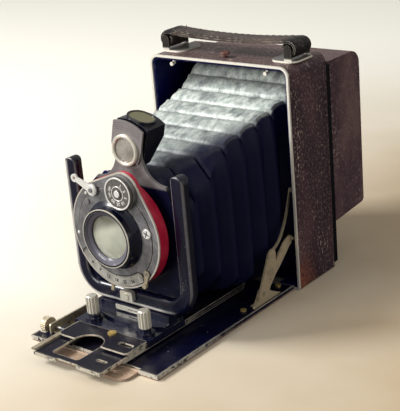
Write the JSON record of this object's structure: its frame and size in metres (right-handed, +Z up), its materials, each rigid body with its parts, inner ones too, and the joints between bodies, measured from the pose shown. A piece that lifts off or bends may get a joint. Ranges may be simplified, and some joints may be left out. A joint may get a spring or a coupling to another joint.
{
  "type": "folding plate camera",
  "caption": "Folding-bed plate camera, opened out: leather-covered body, pleated bellows, sliding standard with a dial-set shutter, small brilliant finder and focusing hood.",
  "frame": {"origin": "middle of the body's bottom front edge, on the plane the camera stands on", "axes": "+X across the body to the right as seen from in front, -Y forward along the lens axis, +Z up"},
  "size_m": [0.112, 0.25, 0.164],
  "materials": {
    "body_metal": "gloss black enamel",
    "leather": "dark brown grained covering leather, worn at its edges",
    "strap_leather": "brown strap leather",
    "bellows_leather": "thin pleated black leather with a dull sheen",
    "nickel": "old nickel plate",
    "black_gloss": "gloss black lacquer",
    "bed_black": "black lacquer, worn bright along its edges",
    "grey_face": "dull grey paint",
    "red_drum": "red lacquer",
    "brass": "aged brass",
    "strut_metal": "nickel worn through to brass",
    "steel": "plain steel",
    "dark_steel": "blackened steel",
    "glass": "polished lens glass",
    "ground_glass": "finely ground glass",
    "foot_leather": "worn reddish-brown leather over metal",
    "button_red": "worn reddish lacquer"
  },
  "bodies": {
    "body": {"body_shell": "body_metal", "body_covering": "leather", "front_rim": "nickel", "bellows_rear_frame": "black_gloss", "floor_rails": "black_gloss", "back_rails": "body_metal", "rim_studs": "nickel", "handle_strap": "strap_leather", "handle_lugs": "nickel", "bed": "bed_black", "bed_covering": "leather", "bed_hinge": "steel", "bed_strip": "steel", "bed_screws": "brass", "tripod_bushes": "nickel", "strut_left": "strut_metal", "strut_right": "strut_metal", "strut_brackets": "strut_metal", "strut_pins": "nickel", "strut_springs": "nickel", "track_guides": "steel", "pinion_bracket": "dark_steel", "distance_scale": "nickel", "bellows_rear": "bellows_leather"},
    "track": {"track": "bed_black", "focus_rack": "nickel", "stop_plate": "black_gloss", "stop_screw": "brass", "bellows_front": "bellows_leather"},
    "knob": {"focus_knob": "nickel", "pinion_shaft": "steel"},
    "standard": {"standard_base": "black_gloss", "index_strip": "nickel", "front_frame": "black_gloss", "bellows_holder": "black_gloss"},
    "grip_left": {"grip_left": "nickel"},
    "grip_right": {"grip_right": "nickel"},
    "lens_board": {"lens_board": "black_gloss", "shutter_drum": "red_drum", "shutter_face": "grey_face", "face_rim": "nickel", "aperture_scale": "grey_face", "iris": "dark_steel", "lens_barrel": "black_gloss", "front_glass": "glass", "rear_cell": "black_gloss"},
    "rise_clamp": {"rise_clamp": "nickel"},
    "speed_dial": {"speed_dial": "nickel"},
    "cocking_lever": {"cocking_lever": "nickel"},
    "release_lever": {"release_lever": "nickel"},
    "aperture_pointer": {"aperture_pointer": "nickel"},
    "finder": {"finder_box": "black_gloss", "finder_ring": "nickel", "finder_glass": "glass"},
    "button": {"release_button": "button_red"},
    "back": {"focusing_back": "black_gloss", "ground_glass": "ground_glass", "hood_walls": "leather"},
    "hood_lid": {"hood_lid": "leather"},
    "bed_foot": {"bed_foot": "foot_leather"}
  },
  "joints": [
    {"name": "track_slide", "type": "slide", "parent": "body", "child": "track", "axis": [0, -1, 0], "range_m": [-0.021, 0.012], "deforming": ["bellows_rear"]},
    {"name": "knob_turn", "type": "hinge", "parent": "body", "child": "knob", "pos_m": [-0.0497, -0.127, 0.0056], "axis": [1, 0, 0], "range_deg": [-602, 344]},
    {"name": "standard_slide", "type": "slide", "parent": "track", "child": "standard", "axis": [0, -1, 0], "range_m": [-0.093, 0], "deforming": ["bellows_front"]},
    {"name": "grip_left_squeeze", "type": "slide", "parent": "standard", "child": "grip_left", "axis": [1, 0, 0], "range_m": [0, 0.0015], "stiffness_N_per_m": 400},
    {"name": "grip_right_squeeze", "type": "slide", "parent": "standard", "child": "grip_right", "axis": [-1, 0, 0], "range_m": [0, 0.0015], "stiffness_N_per_m": 400},
    {"name": "board_rise", "type": "slide", "parent": "standard", "child": "lens_board", "axis": [0, 0, 1], "range_m": [0, 0.008]},
    {"name": "rise_clamp_turn", "type": "hinge", "parent": "standard", "child": "rise_clamp", "pos_m": [-0.0038, -0.1, 0.0247], "axis": [0, -1, 0], "range_deg": [0, 80]},
    {"name": "speed_dial_turn", "type": "hinge", "parent": "lens_board", "child": "speed_dial", "pos_m": [0.01021, -0.1102, 0.09824], "axis": [0, -1, 0], "range_deg": [-60, 250]},
    {"name": "cocking_lever_turn", "type": "hinge", "parent": "lens_board", "child": "cocking_lever", "pos_m": [-0.01297, -0.1095, 0.09634], "axis": [0, 1, 0], "range_deg": [0, 55]},
    {"name": "release_lever_press", "type": "hinge", "parent": "lens_board", "child": "release_lever", "pos_m": [0.023, -0.109, 0.0484], "axis": [0, -1, 0], "range_deg": [0, 12], "stiffness_Nm_per_rad": 0.02},
    {"name": "aperture_turn", "type": "hinge", "parent": "lens_board", "child": "aperture_pointer", "pos_m": [0, -0.1095, 0.0694], "axis": [0, -1, 0], "range_deg": [-40, 30]},
    {"name": "finder_turn", "type": "hinge", "parent": "lens_board", "child": "finder", "pos_m": [0.0055, -0.085, 0.1196], "axis": [0, 1, 0], "range_deg": [-14, 76]},
    {"name": "button_press", "type": "slide", "parent": "body", "child": "button", "axis": [0, 0, -1], "range_m": [0, 0.0015], "stiffness_N_per_m": 500},
    {"name": "back_lift", "type": "slide", "parent": "body", "child": "back", "axis": [0, 0, 1], "range_m": [0, 0.1]},
    {"name": "hood_lid_open", "type": "hinge", "parent": "back", "child": "hood_lid", "pos_m": [0, 0.0872, 0.1316], "axis": [1, 0, 0], "range_deg": [0, 120]},
    {"name": "foot_fold", "type": "hinge", "parent": "body", "child": "bed_foot", "pos_m": [0, -0.1391, 0.0017], "axis": [1, 0, 0], "range_deg": [0, 90]}
  ],
  "couplings": [
    {"joint": "knob_turn", "follows": "track_slide", "rad_per_m": 500},
    {"joint": "grip_right_squeeze", "follows": "grip_left_squeeze", "ratio": 1}
  ]
}
